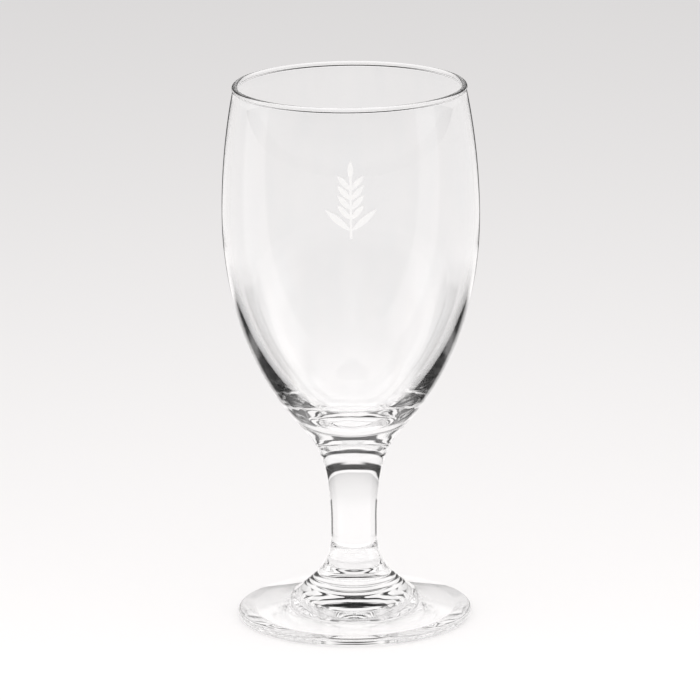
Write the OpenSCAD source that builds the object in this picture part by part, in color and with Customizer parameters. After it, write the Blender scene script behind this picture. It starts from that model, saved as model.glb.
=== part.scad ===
// Chalice beer glass: a tulip bowl on a short stem and a round foot, with a small white print.
// The axis of the glass is Z, the table is z = 0, and the print faces -Y. Millimetres.

/* [Overall] */
// Height from the table to the top of the lip
height = 185; // [170:1:200]
// Largest outside diameter of the bowl
belly_d = 87; // [80:0.5:96]
// Depth of the largest diameter below the top of the lip
belly_drop = 45; // [37:1:53]
// How much narrower the lip is than the belly
lip_draw = 8; // [5:0.5:12]
// Outside diameter of the foot
foot_d = 80; // [70:1:92]

/* [Bowl] */
// Wall thickness at the belly
wall = 2; // [1.8:0.1:2.8]
// Wall thickness just under the lip
lip_wall = 1.6; // [1.4:0.1:1.8]
// Thickness of the fire-polished bead along the lip
bead_d = 2; // [1.9:0.1:2.6]
// Radius of the fillet between the bead and the outside of the wall
lip_fillet = 1; // [0.6:0.1:2]
// Lean of the wall at the end of its lower arc, as a share of a plain arc's lean there
wall_ease = 1.06; // [1:0.01:1.12]
// Share of that lean which the upper of the wall's two arcs takes up
shoulder_share = 0.34; // [0.25:0.01:0.45]
// Wall thickness at the heel, where the inside turns into the round floor
heel_wall = 5.5; // [4.5:0.1:6.5]
// Share of the outside's lower arc that lies below the heel
heel_share = 0.27; // [0.2:0.01:0.34]
// Depth of the rounded seat in which the stem holds the bowl
bowl_seat = 3; // [1.5:0.5:4]

/* [Stem] */
// Outside diameter at the seam with the bowl
head_d = 34; // [29:0.5:38]
// Height of the seam with the bowl above the table
head_h = 66; // [58:1:74]
// Diameter of the stem at its waist
waist_d = 15.8; // [13.4:0.2:18]
// Height at which the waist begins to widen towards the bowl
waist_top = 33.6; // [29.4:0.2:38]
// Lean at which the slow widening above the waist gives way to the head, in degrees
neck_lean = 12; // [9:0.5:14]
// Depth of the rounded seat in which the foot holds the stem
stem_seat = 1.5; // [1:0.25:2.5]

/* [Foot] */
// Height of the seam between the stem and the foot
flare_top = 27.2; // [25:0.2:29]
// Radius of the flare below the seam
flare_r = 18; // [16:0.5:20]
// Lean of the flare's skirt from the vertical, in degrees
skirt_lean = 47; // [42:1:50]
// Radius where the skirt meets the disc
crease_r = 5; // [3:0.5:7]
// Fall of the disc's top towards its edge, in degrees
disc_fall = 14; // [10:1:16]
// Thickness of the rounded edge of the foot
edge_t = 2.6; // [2:0.1:3.4]
// Width of the flat ring that stands on the table
ring_w = 5; // [3:0.5:8]
// Rise of the hollow under the foot
hollow = 3; // [1.5:0.5:4]

/* [Print] */
// Height of the middle of the print above the belly
print_rise = 15; // [12:0.5:18]
// Overall height of the print
print_size = 26; // [20:1:30]
// Thickness of the fired enamel
print_t = 0.15; // [0.1:0.05:0.3]

/* [Hidden] */
$fn = 96;
// furthest that the chords of an outline's arcs stand off the true arc
arc_tol = 0.01;

glass_colour = [0.86, 0.89, 0.9, 0.45];
print_colour = [0.97, 0.97, 0.96];

// ear of barley: grains in pairs up the stalk, one at the tip and two leaves
grain_rows = 4;
grain_lean = 42;
grain_len = print_size / 4;
grain_w = grain_len * 0.29;
grain_gap = grain_len / 2;
stalk_w = grain_len * 0.12;
leaf_lean = 50;
leaf_len = grain_len * 1.7;
leaf_w = leaf_len / 5;
leaf_rise = print_size / 10;

belly_r = belly_d / 2;
belly_h = height - belly_drop;
waist_r = waist_d / 2;
bead_r = bead_d / 2;
edge_r = edge_t / 2;

// points on an arc about c from angle a to angle b
function arc(c, r, a, b) =
    let (n = ceil(abs(b - a) / (2 * acos(1 - arc_tol / r))))
    [for (i = [0:n]) let (t = a + (b - a) * i / n) c + r * [cos(t), sin(t)]];
// the same arc without its first point, to carry an outline on
function on(points) = [for (i = [1:len(points) - 1]) points[i]];
function reversed(points) = [for (i = [len(points) - 1:-1:0]) points[i]];
function angle_of(v) = atan2(v[1], v[0]);
// radius of an arc that leaves p upright, with its centre towards the axis, and passes through q
function upright_r(p, q) = ((q - p) * (q - p)) / (2 * (p[0] - q[0]));
// radii of two tangent arcs that together span the step [across, along]: the first leans from upright
// to lean m and the second from there to lean b
function arc_pair(step, m, b) =
    let (across = [1 - cos(m), cos(m) - cos(b)], along = [sin(m), sin(b) - sin(m)])
    let (det = across[0] * along[1] - across[1] * along[0])
    [step[0] * along[1] - step[1] * across[1], step[1] * across[0] - step[0] * along[0]] / det;
// cap of a ball from the axis to the point p, sagging below it
function cap(p, sag) =
    let (r = (p[0] * p[0] + sag * sag) / (2 * sag))
    arc([0, p[1] - sag + r], r, -90, -90 + asin(p[0] / r));

// lip: the inside runs on into the bead, which stands proud of the outside on a small fillet
bead_c = [(belly_d - lip_draw) / 2 - bead_r, height - bead_r];
lip_lean = 2 * atan(lip_draw / 2 / belly_drop);
lip_in = bead_c - bead_r * [cos(lip_lean), sin(lip_lean)];
fillet_turn = acos((lip_wall - bead_r + lip_fillet) / (bead_r + lip_fillet));
fillet_c = bead_c + (bead_r + lip_fillet) * [cos(lip_lean - fillet_turn), sin(lip_lean - fillet_turn)];
lip_out = fillet_c - lip_fillet * [cos(lip_lean), sin(lip_lean)];

// outside wall above the belly
belly_out = [belly_r, belly_h];
upper_r = upright_r(belly_out, lip_out);
upper_c = belly_out - [upper_r, 0];
wall_up = arc(upper_c, upper_r, 0, angle_of(lip_out - upper_c));

// inside wall above the belly
belly_in = [belly_r - wall, belly_h];
inner_r = upright_r(belly_in, lip_in);
inner_c = belly_in - [inner_r, 0];

// outside wall below the belly: two tangent arcs down to the seam with the stem
seam = [head_d / 2, head_h];
wall_step = [belly_r - seam[0], belly_h - seam[1]];
seam_lean = wall_ease * 2 * atan(wall_step[0] / wall_step[1]);
shoulder_lean = shoulder_share * seam_lean;
wall_r = arc_pair(wall_step, shoulder_lean, seam_lean);
shoulder_c = belly_out - [wall_r[0], 0];
lower_c = shoulder_c + (wall_r[0] - wall_r[1]) * [cos(shoulder_lean), -sin(shoulder_lean)];
bowl_cap = cap(seam, bowl_seat);

// inside wall below the belly, of the same form, and the round floor that is tangent to it at the heel
heel_turn = seam_lean - heel_share * (seam_lean - shoulder_lean);
heel = lower_c + (wall_r[1] - heel_wall) * [cos(heel_turn), -sin(heel_turn)];
cavity_step = belly_in - heel;
heel_lean = wall_ease * 2 * atan(cavity_step[0] / cavity_step[1]);
haunch_lean = shoulder_share * heel_lean;
cavity_r = arc_pair(cavity_step, haunch_lean, heel_lean);
haunch_c = belly_in - [cavity_r[0], 0];
cavity_c = haunch_c + (cavity_r[0] - cavity_r[1]) * [cos(haunch_lean), -sin(haunch_lean)];
floor_r = heel[0] / cos(heel_lean);
floor_c = [0, heel[1] + floor_r * sin(heel_lean)];

// stem: two tangent arcs from the waist up to the seam, where the head runs on along the bowl's wall
stem_r = arc_pair([seam[0] - waist_r, head_h - waist_top], neck_lean, seam_lean);
neck_c = [waist_r + stem_r[0], waist_top];
head_c = neck_c - (stem_r[0] - stem_r[1]) * [cos(neck_lean), -sin(neck_lean)];

// foot: flare, straight skirt, crease, sloping disc and round edge
stem_end = [waist_r, flare_top];
stem_cap = cap(stem_end, stem_seat);
flare_c = stem_end + [flare_r, 0];
skirt_top = flare_c - flare_r * [cos(skirt_lean), sin(skirt_lean)];
skirt_way = [sin(skirt_lean), -cos(skirt_lean)];
skirt_out = [cos(skirt_lean), sin(skirt_lean)];
edge_c = [foot_d / 2 - edge_r, edge_r];
disc_out = [sin(disc_fall), cos(disc_fall)];
disc_edge = edge_c + edge_r * disc_out;
// the crease's centre stands off both the skirt and the disc by its radius
crease_way = (crease_r - (skirt_top + crease_r * skirt_out - disc_edge) * disc_out)
    / (skirt_way * disc_out);
crease_c = skirt_top + crease_r * skirt_out + crease_way * skirt_way;

ring_in = edge_c[0] - ring_w;
hollow_r = (ring_in * ring_in + hollow * hollow) / (2 * hollow);
hollow_c = [0, hollow - hollow_r];

module bowl() {
    color(glass_colour) rotate_extrude() polygon(concat(
        bowl_cap,
        on(arc(lower_c, wall_r[1], -seam_lean, -shoulder_lean)),
        on(arc(shoulder_c, wall_r[0], -shoulder_lean, 0)),
        on(wall_up),
        on(arc(fillet_c, lip_fillet, 180 + lip_lean, 180 + lip_lean - fillet_turn)),
        on(arc(bead_c, bead_r, lip_lean - fillet_turn, 180 + lip_lean)),
        on(arc(inner_c, inner_r, angle_of(lip_in - inner_c), 0)),
        on(arc(haunch_c, cavity_r[0], 0, -haunch_lean)),
        on(arc(cavity_c, cavity_r[1], -haunch_lean, -heel_lean)),
        on(arc(floor_c, floor_r, -heel_lean, -90))
    ));
}

module stem() {
    color(glass_colour) rotate_extrude() polygon(concat(
        stem_cap,
        [[waist_r, waist_top]],
        on(arc(neck_c, stem_r[0], 180, 180 - neck_lean)),
        on(arc(head_c, stem_r[1], 180 - neck_lean, 180 - seam_lean)),
        on(reversed(bowl_cap))
    ));
}

module foot() {
    color(glass_colour) rotate_extrude() polygon(concat(
        arc(hollow_c, hollow_r, 90, angle_of([ring_in, 0] - hollow_c)),
        arc(edge_c, edge_r, -90, 90 - disc_fall),
        arc(crease_c, crease_r, 270 - disc_fall, 180 + skirt_lean),
        arc(flare_c, flare_r, 180 + skirt_lean, 180),
        on(reversed(stem_cap))
    ));
}

// pointed oval of the given length and width, standing on the origin
module grain(len, w) {
    r = (len * len + w * w) / (4 * w);
    intersection_for (side = [-1, 1])
        translate([side * (r - w / 2), len / 2]) circle(r);
}

// ear of barley, standing on the origin
module barley() {
    tip = print_size - grain_len;
    translate([-stalk_w / 2, 0]) square([stalk_w, tip + grain_len / 2]);
    for (side = [-1, 1]) {
        for (row = [1:grain_rows])
            translate([0, tip - row * grain_gap]) rotate(-side * grain_lean) grain(grain_len, grain_w);
        translate([0, leaf_rise]) rotate(-side * leaf_lean) grain(leaf_len, leaf_w);
    }
    translate([0, tip]) grain(grain_len, grain_w);
}

// enamel lying on the outside of the wall
module barley_print() {
    skin = concat(arc(shoulder_c, wall_r[0], -shoulder_lean, 0), on(wall_up));
    proud = [print_t, 0];
    color(print_colour) intersection() {
        rotate_extrude() polygon(concat(skin, [for (p = reversed(skin)) p + proud]));
        translate([0, 0, belly_h + print_rise - print_size / 2]) rotate([90, 0, 0])
            linear_extrude(belly_d) barley();
    }
}

bowl();
stem();
foot();
barley_print();
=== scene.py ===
"""Chalice beer glass: three fused gathers of clear glass and a white enamel print, in a pale studio."""
import math

import bmesh
import bpy
from mathutils import Matrix, Vector, noise


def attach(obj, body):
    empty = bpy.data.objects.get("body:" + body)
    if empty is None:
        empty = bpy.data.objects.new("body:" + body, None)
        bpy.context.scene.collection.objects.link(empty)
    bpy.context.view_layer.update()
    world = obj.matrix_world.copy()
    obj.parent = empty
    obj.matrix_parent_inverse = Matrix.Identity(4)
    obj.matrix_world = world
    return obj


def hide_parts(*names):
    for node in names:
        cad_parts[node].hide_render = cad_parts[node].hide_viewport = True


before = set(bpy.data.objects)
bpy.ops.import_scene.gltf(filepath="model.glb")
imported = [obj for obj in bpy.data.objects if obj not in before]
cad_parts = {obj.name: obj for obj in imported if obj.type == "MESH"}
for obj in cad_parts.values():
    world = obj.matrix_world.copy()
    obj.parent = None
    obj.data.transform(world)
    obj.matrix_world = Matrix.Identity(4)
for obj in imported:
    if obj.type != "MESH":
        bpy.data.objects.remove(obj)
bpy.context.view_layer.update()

# One millimetre in metres
MM = 0.001

# Sizes of the glass in millimetres and degrees, as in the part's source.
# Bowl: its outline, its wall from the lip down to the heel, and the round bottom that sits in the stem
HEIGHT = 185.0
BELLY_D = 87.0
BELLY_DROP = 45.0
LIP_DRAW = 8.0
BEAD_D = 2.0
LIP_FILLET = 1.0
LIP_WALL = 1.6
WALL = 2.0
WALL_EASE = 1.06
SHOULDER_SHARE = 0.34
HEEL_WALL = 5.5
HEEL_SHARE = 0.27
BOWL_SEAT = 3.0

# Stem: its cupped head, its waist, and the round end that sits in the foot
HEAD_D = 34.0
HEAD_H = 66.0
WAIST_D = 15.8
WAIST_TOP = 33.6
NECK_LEAN = 12.0
STEM_SEAT = 1.5

# Foot: flare, skirt, crease, disc, rounded edge, resting ring and hollow underside
FOOT_D = 80.0
FLARE_TOP = 27.2
FLARE_R = 18.0
SKIRT_LEAN = 47.0
CREASE_R = 5.0
DISC_FALL = 14.0
EDGE_T = 2.6
RING_W = 5.0
HOLLOW = 3.0

# Tool marks of the foot: creases between the soft folds of the flare, as heights, depths and half widths
GROOVES = (
    (20.7, 0.07, 0.4),
    (18.4, 0.06, 0.4),
    (16.6, 0.08, 0.4),
    (14.9, 0.3, 0.6),
    (13.4, 0.15, 0.4),
    (12.2, 0.15, 0.4),
    (11.2, 0.1, 0.4),
)

# Ripples left in the pressed glass: the heights and radii where they fade in and out, their depth and length.
# Radii that start below 0 take in the axis
BOWL_RIPPLES = (
    {"heights": (66.5, 69, 74, 82), "radii": (-2, -1, 30, 40), "depth": 0.06, "length": 5.0},
)
STEM_RIPPLES = (
    {"heights": (44, 52, 60, 65), "radii": (-2, -1, 30, 40), "depth": 0.03, "length": 5.0},
)
FOOT_RIPPLES = (
    {"heights": (4, 4.6, 8, 12), "radii": (14, 17, 22, 27), "depth": 0.03, "length": 2.6},
    {"heights": (3.4, 4, 8, 12), "radii": (20, 24, 31, 35), "depth": 0.012, "length": 7.0},
)

# Fineness of the turned meshes: the sag of a chord, the longest steps along a rippled and a creased outline,
# the steps of a full turn, and the distances within which points are one
ARC_TOL = 0.004
FINE_STEP = 0.7
GROOVE_STEP = 0.1
TURN_STEPS = 256
SAME_POINT = 0.000001
WELD = 0.001

# Finishes of a turned piece, in the order of its materials
POLISHED = 0
FUSED = 1

# Glass: the cords of the melt, drawn out upright, and the marks of a cloth in the polish
GLASS_IOR = 1.52
CLEAR = (1.0, 1.0, 1.0, 1)
CORD_TINT = (0.985, 0.99, 0.992, 1)
CORDS = {"Scale": 160.0, "Detail": 2.0, "Roughness": 0.4}
CORD_DRAWN = (1, 1, 0.3)
CORD_SPREAD = (0.35, 0.75)
CORD_DEPTH = 0.004
WIPES = {"Scale": 45.0, "Detail": 4.0, "Distortion": 0.8}
WIPE_SPREAD = (0.58, 0.8)
WIPE_ROUGH = 0.03

# Enamel: a mottle in its colour, and the grain of a printing mesh in its gloss
ENAMEL_FULL = (0.97, 0.97, 0.96, 1)
ENAMEL_THIN = (0.93, 0.935, 0.93, 1)
ENAMEL_ROUGH = 0.38
MOTTLE = {"Scale": 420.0, "Detail": 4.0}
MOTTLE_SPREAD = (0.3, 0.7)
GRAIN = {"Scale": 2600.0, "Detail": 2.0}
GRAIN_ROUGH = 0.2
GRAIN_DEPTH = 0.01
GRAIN_STRENGTH = 0.5

# Floor in metres, a hair below the glass: its glow paints a pool of light, brightest round the glass and in
# front of it, with a share of its brightness from the light that falls on it. Through the glass it is painted
# a little brighter and rises again far ahead, and under the foot a painted light fills the glass's own shadow
FLOOR_R = 8.0
FLOOR_SIDES = 96
FLOOR_GAP = 0.05 * MM
FLOOR_FAR = 0.6
PAINTED_POOL_LIGHT = 0.575
PAINTED_POOL_FADE = 0.8
PAINTED_POOL_CENTRE = -0.25
FLOOR_MATT = 0.45
FLOOR_RISE = 0.35
RISE_AHEAD = (1.25, 1.8)
GLASS_GAIN = 1.04
PAINTED_UNDER_FOOT_LIGHT = 0.2
UNDER_REACH = (0.04, 0.06)
WARM = (1.02, 1.0, 0.997)

# Directions round the glass are in degrees from straight ahead of the camera, to the left and right alike.
# Painted black cards on the floor, which only the glass shows, draw dark lines down the edges of the stem
EDGE_TURN = (54, 59, 76, 80)
EDGE_REACH = (0.06, 0.09, 0.25, 0.29)
PAINTED_CARD_DEPTH = 0.95

# Painted reflection of the floor in the polish: a bright sheet, dark close by and far ahead, with a painted
# panel on each side
MIRROR_LEVEL = 1.05
NEAR_TURN = (30, 40, 85, 100)
NEAR_REACH = (0.06, 0.1, 0.3, 0.45)
FAR_TURN = (14, 22)
FAR_REACH = (0.35, 0.5)
PAINTED_PANEL_LEVEL = 0.7
PANEL_FOCUS = (0.05, -0.1)
PANEL_LEFT = (62, 70, 93, 97)
PANEL_RIGHT = (88, 93, 112, 116)
PANEL_REACH = (0.08, 0.12)
PANEL_LIFT = (10, 20)

# Painted studio that only the glass shows, as levels by height above the horizon: a white wall ahead with low
# and high painted black cards, others beside it, white sides, and a painted dark room under a large soft
# light behind the camera
ZENITH = 90
AHEAD = (
    (0.0, 0.9),
    (0.3, 0.02),
    (5.0, 0.02),
    (6.5, 0.95),
    (20.5, 1.0),
    (23.5, 0.02),
    (37.0, 0.02),
    (40.0, 1.0),
)
BESIDE = (
    (0.0, 0.7),
    (0.3, 0.02),
    (7.5, 0.02),
    (9.5, 0.95),
    (20.5, 1.0),
    (23.5, 0.02),
    (32.0, 0.02),
    (34.0, 1.0),
)
SIDES = (
    (0.0, 1.0),
    (14.0, 1.0),
    (20.0, 0.1),
    (36.0, 0.1),
    (46.0, 1.0),
)
PAINTED_ROOM = (
    (0.0, 0.8),
    (3.0, 0.4),
    (8.0, 0.03),
    (44.0, 0.03),
    (58.0, 1.0),
)
BESIDE_START = (5, 20)
SIDES_START = (60, 72)
ROOM_START = (95, 135)
BACK_START = (160, 176)
BACK_LEVEL = 0.25

# Painted reflection of the studio in the polish, ahead of the camera and behind it
MIRROR_AHEAD = (
    (0.0, 0.1),
    (2.0, 0.1),
    (4.0, 0.35),
    (20.0, 0.35),
    (24.0, 1.0),
)
MIRROR_BEHIND = (
    (0.0, 0.8),
    (15.0, 0.8),
    (25.0, 0.05),
)
BEHIND_START = (60, 100)

# Camera in metres and degrees: a long lens that looks down a little
CAMERA_BACK = 1.839
CAMERA_HEIGHT = 0.5696
CAMERA_ASIDE = -0.00075
CAMERA_PITCH = 14.53
CAMERA_ROLL = -0.6
CAMERA_LENS = 288.2
SENSOR_W = 36.0
SIGHT_END = 50.0

# How often light may pass or bounce in the glass, and cross a fused seam
GLASS_BOUNCES = 64
SEAM_CROSSINGS = 32

# Sockets of the Mix node for colours
MIX_SHARE = 0
MIX_FIRST = 6
MIX_SECOND = 7
MIX_COLOUR = 2


def way(degrees):
    """Unit vector at an angle from the radius, in the plane of an outline."""
    turn = math.radians(degrees)
    return Vector((math.cos(turn), math.sin(turn)))


def angle_of(vector):
    return math.degrees(math.atan2(vector.y, vector.x))


def arc(centre, radius, start, end, longest=math.inf):
    """Points of an arc from one angle to another, both ends included, in steps up to the longest."""
    step = 2 * math.acos(1 - ARC_TOL / radius)
    step = min(step, longest / radius)
    count = max(1, math.ceil(math.radians(abs(end - start)) / step))
    return [centre + radius * way(start + (end - start) * i / count) for i in range(count + 1)]


def straight(start, end, longest):
    """Points of a straight stretch, both ends included, in steps up to the longest."""
    count = math.ceil((end - start).length / longest)
    return [start.lerp(end, i / count) for i in range(count + 1)]


def joined(*stretches):
    """One outline from stretches that share their end points."""
    outline = list(stretches[0])
    for stretch in stretches[1:]:
        first = 1 if (stretch[0] - outline[-1]).length < SAME_POINT else 0
        outline += stretch[first:]
    return outline


def upright_radius(start, end):
    """Radius of the arc that leaves start upright and passes through end."""
    return (end - start).length_squared / (2 * (start.x - end.x))


def arc_pair(across, along, middle, end):
    """Radii of two tangent arcs over a step: upright to the middle lean, then on to the end lean."""
    middle = math.radians(middle)
    end = math.radians(end)
    across_first = 1 - math.cos(middle)
    across_second = math.cos(middle) - math.cos(end)
    along_first = math.sin(middle)
    along_second = math.sin(end) - math.sin(middle)
    det = across_first * along_second - across_second * along_first
    first = (across * along_second - along * across_second) / det
    second = (along * across_first - across * along_first) / det
    return first, second


def cap(rim, sag):
    """Ball cap from the axis to rim, sagging below it."""
    radius = (rim.x ** 2 + sag ** 2) / (2 * sag)
    centre = Vector((0, rim.y - sag + radius))
    return arc(centre, radius, -90, math.degrees(math.asin(rim.x / radius)) - 90)


def grooved(outline):
    """The outline with the flare's tool marks cut into it."""
    cut = [outline[0]]
    for before, point, after in zip(outline, outline[1:], outline[2:]):
        along = (after - before).normalized()
        depth = sum(deep * math.exp(-abs(point.y - height) / wide) for height, deep, wide in GROOVES)
        cut.append(point - depth * Vector((along.y, -along.x)))
    return cut + [outline[-1]]


# Lip and wall above the belly
bead_r = BEAD_D / 2
bead_c = Vector(((BELLY_D - LIP_DRAW) / 2 - bead_r, HEIGHT - bead_r))
lip_lean = 2 * math.degrees(math.atan(LIP_DRAW / 2 / BELLY_DROP))
lip_in = bead_c - bead_r * way(lip_lean)
fillet_off = LIP_WALL - bead_r + LIP_FILLET
fillet_turn = math.degrees(math.acos(fillet_off / (bead_r + LIP_FILLET)))
fillet_c = bead_c + (bead_r + LIP_FILLET) * way(lip_lean - fillet_turn)
lip_out = fillet_c - LIP_FILLET * way(lip_lean)
belly_out = Vector((BELLY_D / 2, HEIGHT - BELLY_DROP))
upper_r = upright_radius(belly_out, lip_out)
upper_c = belly_out - Vector((upper_r, 0))
belly_in = belly_out - Vector((WALL, 0))
inner_r = upright_radius(belly_in, lip_in)
inner_c = belly_in - Vector((inner_r, 0))

# Outside wall below the belly, down to the seam with the stem
seam = Vector((HEAD_D / 2, HEAD_H))
wall_step = belly_out - seam
seam_lean = WALL_EASE * 2 * math.degrees(math.atan(wall_step.x / wall_step.y))
shoulder_lean = SHOULDER_SHARE * seam_lean
shoulder_r, lower_r = arc_pair(wall_step.x, wall_step.y, shoulder_lean, seam_lean)
shoulder_c = belly_out - Vector((shoulder_r, 0))
lower_c = shoulder_c + (shoulder_r - lower_r) * way(-shoulder_lean)
bowl_cap = cap(seam, BOWL_SEAT)

# Inside wall below the belly, of the same form, and the round floor that meets it at the heel
heel_turn = seam_lean - HEEL_SHARE * (seam_lean - shoulder_lean)
heel = lower_c + (lower_r - HEEL_WALL) * way(-heel_turn)
cavity_step = belly_in - heel
heel_lean = WALL_EASE * 2 * math.degrees(math.atan(cavity_step.x / cavity_step.y))
haunch_lean = SHOULDER_SHARE * heel_lean
haunch_r, cavity_r = arc_pair(cavity_step.x, cavity_step.y, haunch_lean, heel_lean)
haunch_c = belly_in - Vector((haunch_r, 0))
cavity_c = haunch_c + (haunch_r - cavity_r) * way(-haunch_lean)
floor_r = heel.x / math.cos(math.radians(heel_lean))
floor_c = Vector((0, heel.y + floor_r * math.sin(math.radians(heel_lean))))

# Stem, widening from its waist up to the seam
waist_r = WAIST_D / 2
neck_r, head_r = arc_pair(seam.x - waist_r, HEAD_H - WAIST_TOP, NECK_LEAN, seam_lean)
neck_c = Vector((waist_r + neck_r, WAIST_TOP))
head_c = neck_c - (neck_r - head_r) * way(-NECK_LEAN)
stem_end = Vector((waist_r, FLARE_TOP))
stem_cap = cap(stem_end, STEM_SEAT)

# Foot, from its flare down to its edge, and the hollow inside its ring
flare_c = stem_end + Vector((FLARE_R, 0))
skirt_top = flare_c - FLARE_R * way(SKIRT_LEAN)
skirt_way = way(SKIRT_LEAN - 90)
skirt_out = way(SKIRT_LEAN)
edge_r = EDGE_T / 2
edge_c = Vector((FOOT_D / 2 - edge_r, edge_r))
disc_out = way(90 - DISC_FALL)
disc_edge = edge_c + edge_r * disc_out
crease_start = skirt_top + CREASE_R * skirt_out
crease_way = (CREASE_R - (crease_start - disc_edge).dot(disc_out)) / skirt_way.dot(disc_out)
crease_c = crease_start + crease_way * skirt_way
crease_end = crease_c - CREASE_R * skirt_out
ring_in = edge_c.x - RING_W
hollow_r = (ring_in ** 2 + HOLLOW ** 2) / (2 * HOLLOW)
hollow_c = Vector((0, HOLLOW - hollow_r))
hollow_turn = angle_of(Vector((ring_in, 0)) - hollow_c)

bowl_skin = joined(
    arc(lower_c, lower_r, -seam_lean, -shoulder_lean),
    arc(shoulder_c, shoulder_r, -shoulder_lean, 0),
    arc(upper_c, upper_r, 0, angle_of(lip_out - upper_c)),
    arc(fillet_c, LIP_FILLET, 180 + lip_lean, 180 + lip_lean - fillet_turn),
    arc(bead_c, bead_r, lip_lean - fillet_turn, 180 + lip_lean),
    arc(inner_c, inner_r, angle_of(lip_in - inner_c), 0),
    arc(haunch_c, haunch_r, 0, -haunch_lean),
    arc(cavity_c, cavity_r, -haunch_lean, -heel_lean),
    arc(floor_c, floor_r, -heel_lean, -90, FINE_STEP),
)
stem_skin = joined(
    [stem_end, Vector((waist_r, WAIST_TOP))],
    arc(neck_c, neck_r, 180, 180 - NECK_LEAN, FINE_STEP),
    arc(head_c, head_r, 180 - NECK_LEAN, 180 - seam_lean, FINE_STEP),
)
crease = arc(crease_c, CREASE_R, 270 - DISC_FALL, 180 + SKIRT_LEAN, FINE_STEP)
skirt = straight(crease_end, skirt_top, GROOVE_STEP)
flare = arc(flare_c, FLARE_R, 180 + SKIRT_LEAN, 180, GROOVE_STEP)
foot_skin = joined(
    arc(hollow_c, hollow_r, 90, hollow_turn, FINE_STEP),
    arc(edge_c, edge_r, -90, 90 - DISC_FALL),
    straight(disc_edge, crease[0], FINE_STEP),
    crease,
    grooved(joined(skirt, flare)),
)


def turn_outline(mesh, outline, finish):
    """Adds an outline turned once round Z, with all its faces in one finish."""
    count = len(outline)
    corners = []
    faces = []
    for step in range(TURN_STEPS):
        out = way(360 * step / TURN_STEPS)
        corners += [(p.x * out.x * MM, p.x * out.y * MM, p.y * MM) for p in outline]
        here = step * count
        there = (step + 1) % TURN_STEPS * count
        faces += [(here + i, there + i, there + i + 1, here + i + 1) for i in range(count - 1)]
    data = bpy.data.meshes.new("ring")
    data.from_pydata(corners, [], faces)
    data.polygons.foreach_set("material_index", [finish] * len(faces))
    mesh.from_mesh(data)
    bpy.data.meshes.remove(data)


def ease(value, start, end):
    """Rises smoothly from 0 at the start to 1 at the end."""
    share = min(1.0, max(0.0, (value - start) / (end - start)))
    return share * share * (3 - 2 * share)


def within(value, bounds):
    """1 between the middle two bounds, fading to 0 at the outer two."""
    return ease(value, bounds[0], bounds[1]) * (1 - ease(value, bounds[2], bounds[3]))


def ripple(mesh, marks):
    """Moves the skin in and out along its normals, and leaves the seams where they are."""
    mesh.normal_update()
    moves = []
    for vert in mesh.verts:
        if any(face.material_index == FUSED for face in vert.link_faces):
            continue
        point = vert.co / MM
        rise = 0.0
        for mark in marks:
            share = within(point.z, mark["heights"]) * within(point.xy.length, mark["radii"])
            if share > 0:
                rise += share * mark["depth"] * noise.noise(point / mark["length"])
        moves.append((vert, vert.normal * rise * MM))
    for vert, move in moves:
        vert.co += move


def turned_glass(name, skin, seams, ripples, fused):
    """A closed turned piece: polished skin, and seam faces where it is fused to its neighbours."""
    mesh = bmesh.new()
    turn_outline(mesh, skin, POLISHED)
    for seam_outline in seams:
        turn_outline(mesh, seam_outline, FUSED)
    bmesh.ops.remove_doubles(mesh, verts=mesh.verts, dist=WELD * MM)
    bmesh.ops.recalc_face_normals(mesh, faces=mesh.faces)
    ripple(mesh, ripples)
    for face in mesh.faces:
        face.smooth = True
    for edge in mesh.edges:
        edge.smooth = len({face.material_index for face in edge.link_faces}) == 1
    data = bpy.data.meshes.new(name)
    mesh.to_mesh(data)
    mesh.free()
    data.materials.append(glass_material(name))
    data.materials.append(fused)
    piece = bpy.data.objects.new(name, data)
    bpy.context.scene.collection.objects.link(piece)
    return piece


class Wire:
    """A socket in a shader tree. Arithmetic on wires adds Math nodes."""

    def __init__(self, tree, socket=None):
        self.tree = tree
        self.socket = socket

    def add(self, kind, settings=None, inputs=None, output=0):
        """Adds a node: its settings first, then the values or wires of its inputs."""
        node = self.tree.nodes.new(kind)
        for name, value in (settings or {}).items():
            setattr(node, name, value)
        for key, value in (inputs or {}).items():
            if isinstance(value, Wire):
                self.tree.links.new(value.socket, node.inputs[key])
            else:
                node.inputs[key].default_value = value
        return Wire(self.tree, node.outputs[output] if node.outputs else None)

    def calc(self, operation, *values):
        return self.add("ShaderNodeMath", {"operation": operation}, dict(enumerate(values)))

    def __add__(self, other):
        return self.calc("ADD", self, other)

    def __radd__(self, other):
        return self.calc("ADD", other, self)

    def __sub__(self, other):
        return self.calc("SUBTRACT", self, other)

    def __rsub__(self, other):
        return self.calc("SUBTRACT", other, self)

    def __mul__(self, other):
        return self.calc("MULTIPLY", self, other)

    def __rmul__(self, other):
        return self.calc("MULTIPLY", other, self)

    def __truediv__(self, other):
        return self.calc("DIVIDE", self, other)

    def axis(self, name):
        """The X, Y or Z of a vector."""
        return self.add("ShaderNodeSeparateXYZ", inputs={"Vector": self}, output=name)

    def length(self):
        return self.add("ShaderNodeVectorMath", {"operation": "LENGTH"}, {0: self}, output="Value")

    def rise(self, start, end):
        """0 below the start and 1 above the end, with a smooth rise between them."""
        return self.add("ShaderNodeMapRange", {"interpolation_type": "SMOOTHSTEP"}, {
            "Value": self, "From Min": start, "From Max": end})

    def band(self, bounds):
        """1 between the middle two bounds, fading to 0 at the outer two."""
        return self.rise(bounds[0], bounds[1]) * (1 - self.rise(bounds[2], bounds[3]))

    def toward(self, other, share):
        """This value, or the other where the share is 1."""
        return self + (other - self) * share


def new_material(name):
    material = bpy.data.materials.new(name)
    material.use_nodes = True
    material.node_tree.nodes.clear()
    return material, Wire(material.node_tree)


def clouds(place, settings):
    """Noise through the object's own space."""
    return place.add("ShaderNodeTexNoise", inputs={"Vector": place, **settings})


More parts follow.
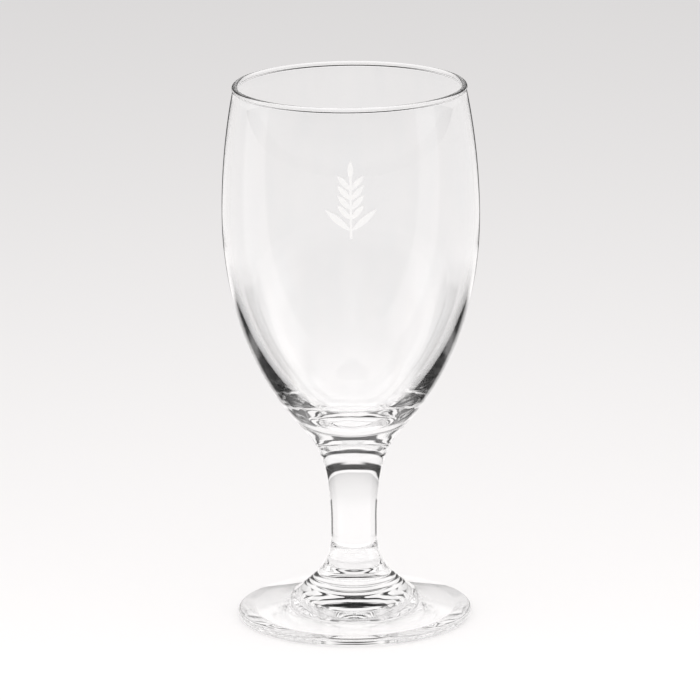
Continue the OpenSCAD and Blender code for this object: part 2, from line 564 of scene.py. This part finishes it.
def blend(share, first, second):
    """One colour, or the second where the share is 1."""
    return share.add("ShaderNodeMix", {"data_type": "RGBA"}, {
        MIX_SHARE: share, MIX_FIRST: first, MIX_SECOND: second}, output=MIX_COLOUR)


def glass_material(name):
    """Clear polished glass with faint cords in the melt, and wiping marks that dull the polish a little."""
    material, tree = new_material(name)
    place = tree.add("ShaderNodeTexCoord", output="Object")
    cords = clouds(tree.add("ShaderNodeMapping", inputs={"Vector": place, "Scale": CORD_DRAWN}), CORDS)
    wiped = clouds(place, WIPES)
    bump = tree.add("ShaderNodeBump", inputs={
        "Strength": 1.0, "Distance": CORD_DEPTH * MM, "Height": cords})
    shader = tree.add("ShaderNodeBsdfPrincipled", inputs={
        "Base Color": blend(cords.rise(*CORD_SPREAD), CLEAR, CORD_TINT),
        "Roughness": wiped.rise(*WIPE_SPREAD) * WIPE_ROUGH,
        "IOR": GLASS_IOR,
        "Transmission Weight": 1.0,
        "Normal": bump,
    })
    tree.add("ShaderNodeOutputMaterial", inputs={"Surface": shader})
    return material


def fused_material():
    """Faces inside the fused glass, where nothing reflects or bends."""
    material, tree = new_material("fused_seam")
    shader = tree.add("ShaderNodeBsdfPrincipled", inputs={"Alpha": 0.0})
    tree.add("ShaderNodeOutputMaterial", inputs={"Surface": shader})
    return material


def enamel_material():
    """Fired screen-print enamel: a soft mottle, and the fine grain of the mesh it was pressed through."""
    material, tree = new_material("white_enamel")
    place = tree.add("ShaderNodeTexCoord", output="Object")
    mottle = clouds(place, MOTTLE)
    grain = clouds(place, GRAIN)
    bump = tree.add("ShaderNodeBump", inputs={
        "Strength": GRAIN_STRENGTH, "Distance": GRAIN_DEPTH * MM, "Height": grain})
    shader = tree.add("ShaderNodeBsdfPrincipled", inputs={
        "Base Color": blend(mottle.rise(*MOTTLE_SPREAD), ENAMEL_THIN, ENAMEL_FULL),
        "Roughness": ENAMEL_ROUGH + GRAIN_ROUGH * grain,
        "Normal": bump,
    })
    tree.add("ShaderNodeOutputMaterial", inputs={"Surface": shader})
    return material


fused_seam = fused_material()
gathers = (
    ("bowl", bowl_skin, [bowl_cap], BOWL_RIPPLES),
    ("stem", stem_skin, [bowl_cap, stem_cap], STEM_RIPPLES),
    ("foot", foot_skin, [stem_cap], FOOT_RIPPLES),
)
for node, skin, seams, ripples in gathers:
    piece = turned_glass(node + "_glass", skin, seams, ripples, fused_seam)
    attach(piece, "root")
    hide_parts(node)
    node + "_glass"

print_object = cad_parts["barley_print"]
print_object.data.materials.clear()
print_object.data.materials.append(enamel_material())


def grey(level):
    return (level, level, level, 1)


def warm(level):
    return level.add("ShaderNodeVectorMath", {"operation": "SCALE"}, {0: WARM, "Scale": level})


def heading(across, ahead):
    """Direction on the plan in degrees: 0 ahead of the camera, positive to the right."""
    return across.calc("ARCTAN2", across, ahead) * math.degrees(1)


def ray_is(tree, kind):
    return tree.add("ShaderNodeLightPath", output=f"Is {kind} Ray")


def by_ray(tree, plain, through, painted_reflection):
    """The plain level, the painted scene that the glass shows by refraction, or the painted reflection in its
    polish.
    """
    by_polish = ray_is(tree, "Reflection") - ray_is(tree, "Diffuse")
    by_glass = ray_is(tree, "Transmission")
    return plain.toward(through, by_glass).toward(painted_reflection, by_polish)


def floor_material():
    """A pale floor that glows, so that it stays plain, and is matt enough to take a soft shadow. Its glow
    paints a pool of light round the glass, and what glass and polish show of it is painted apart.
    """
    material, tree = new_material("studio_floor")
    place = tree.add("ShaderNodeTexCoord", output="Object")
    across = place.axis("X")
    ahead = place.axis("Y")
    reach = place.length()
    turn = tree.calc("ABSOLUTE", heading(across, ahead))
    # Painted pool of light: the glow is brightest round a spot a little in front of the glass and fades with
    # distance from it
    from_painted_pool = tree.add("ShaderNodeVectorMath", {"operation": "SUBTRACT"}, {
        0: place, 1: (0, PAINTED_POOL_CENTRE, 0)})
    plain = FLOOR_FAR + PAINTED_POOL_LIGHT * tree.calc("EXPONENT", from_painted_pool.length() * (-1 / PAINTED_POOL_FADE))

    # Painted shade: black cards painted on the floor only for rays through the glass, drawing dark lines down
    # the stem's edges
    painted_edge_cards = turn.band(EDGE_TURN) * reach.band(EDGE_REACH)
    # Painted light: through the glass the floor is a little brighter, and brighter still far ahead
    through = (plain + FLOOR_RISE * ahead.rise(*RISE_AHEAD)) * (GLASS_GAIN - PAINTED_CARD_DEPTH * painted_edge_cards)
    # Painted light under the foot, seen through the glass, fills the shadow that the glass casts there
    through = through + PAINTED_UNDER_FOOT_LIGHT * (1 - reach.rise(*UNDER_REACH))

    # Painted reflection: dark cards close by and far ahead, and a bright panel on each side, that only the
    # polish shows
    near = turn.band(NEAR_TURN) * reach.band(NEAR_REACH)
    far = (1 - turn.rise(*FAR_TURN)) * reach.rise(*FAR_REACH)
    aside = tree.calc("ABSOLUTE", across)
    fan = heading(aside + PANEL_FOCUS[0], ahead - PANEL_FOCUS[1])
    on_right = tree.calc("GREATER_THAN", across, 0)
    painted_panels = fan.band(PANEL_LEFT).toward(fan.band(PANEL_RIGHT), on_right) * aside.rise(*PANEL_REACH)
    painted_reflection = MIRROR_LEVEL * (1 - PAINTED_CARD_DEPTH * near) * (1 - PAINTED_CARD_DEPTH * far) + PAINTED_PANEL_LEVEL * painted_panels

    glow = by_ray(tree, plain, through, painted_reflection) - FLOOR_MATT
    light = tree.add("ShaderNodeEmission", inputs={"Color": warm(glow)})
    matt = tree.add("ShaderNodeBsdfDiffuse", inputs={"Color": grey(FLOOR_MATT)})
    both = tree.add("ShaderNodeAddShader", inputs={0: light, 1: matt})
    tree.add("ShaderNodeOutputMaterial", inputs={"Surface": both})
    return material


def by_lift(lift, bands):
    """Grey level by height above the horizon in degrees."""
    ramp = lift.add("ShaderNodeValToRGB", inputs={0: lift / ZENITH})
    stops = ramp.socket.node.color_ramp.elements
    while len(stops) < len(bands):
        stops.new(1)
    for stop, (height, level) in zip(stops, bands):
        stop.position = height / ZENITH
        stop.color = grey(level)
    return ramp


def studio_world():
    """A plain pale studio, which glass and polish show with painted black cards, painted panels and a painted
    dark room.
    """
    world = bpy.data.worlds.new("studio")
    world.use_nodes = True
    world.node_tree.nodes.clear()
    sky = Wire(world.node_tree)
    facing = sky.add("ShaderNodeTexCoord", output="Generated")
    across = facing.axis("X")
    lift = sky.calc("ARCSINE", facing.axis("Z")) * math.degrees(1)
    turn = sky.calc("ABSOLUTE", heading(across, facing.axis("Y")))
    plain = 1 - (1 - FLOOR_FAR) * ray_is(sky, "Camera")

    # Painted scene that only the glass shows by refraction: black cards and a dark room that the camera never
    # sees
    through = by_lift(lift, AHEAD).toward(by_lift(lift, BESIDE), turn.rise(*BESIDE_START))
    through = through.toward(by_lift(lift, SIDES), turn.rise(*SIDES_START))
    painted_room = by_lift(lift, PAINTED_ROOM)
    painted_room = painted_room.toward(sky.calc("MAXIMUM", painted_room, BACK_LEVEL), turn.rise(*BACK_START))
    through = through.toward(painted_room, turn.rise(*ROOM_START))

    # Painted reflection of the studio, with a bright panel on each side, that only the polish shows
    painted_reflection = by_lift(lift, MIRROR_AHEAD).toward(by_lift(lift, MIRROR_BEHIND), turn.rise(*BEHIND_START))
    on_right = sky.calc("GREATER_THAN", across, 0)
    painted_panels = turn.band(PANEL_LEFT).toward(turn.band(PANEL_RIGHT), on_right)
    painted_reflection = MIRROR_LEVEL * painted_reflection + PAINTED_PANEL_LEVEL * painted_panels * (1 - lift.rise(*PANEL_LIFT))

    level = by_ray(sky, plain, through, painted_reflection)
    surface = sky.add("ShaderNodeBackground", inputs={"Color": warm(level)})
    sky.add("ShaderNodeOutputWorld", inputs={"Surface": surface})
    return world


scene = bpy.context.scene

floor_mesh = bmesh.new()
bmesh.ops.create_circle(floor_mesh, cap_ends=True, segments=FLOOR_SIDES, radius=FLOOR_R,
                        matrix=Matrix.Translation((0, 0, -FLOOR_GAP)))
floor_data = bpy.data.meshes.new("studio_floor")
floor_mesh.to_mesh(floor_data)
floor_mesh.free()
floor_data.materials.append(floor_material())
floor = bpy.data.objects.new("studio_floor", floor_data)
scene.collection.objects.link(floor)
scene.world = studio_world()

camera_data = bpy.data.cameras.new("camera")
camera_data.lens = CAMERA_LENS
camera_data.sensor_width = SENSOR_W
camera_data.clip_end = SIGHT_END
camera = bpy.data.objects.new("camera", camera_data)
camera.matrix_world = (
    Matrix.Translation((CAMERA_ASIDE, -CAMERA_BACK, CAMERA_HEIGHT))
    @ Matrix.Rotation(math.radians(90 - CAMERA_PITCH), 4, "X")
    @ Matrix.Rotation(math.radians(CAMERA_ROLL), 4, "Z")
)
scene.collection.objects.link(camera)
scene.camera = camera

scene.view_settings.view_transform = "Standard"
scene.cycles.max_bounces = GLASS_BOUNCES
scene.cycles.transmission_bounces = GLASS_BOUNCES
scene.cycles.glossy_bounces = GLASS_BOUNCES
scene.cycles.transparent_max_bounces = SEAM_CROSSINGS
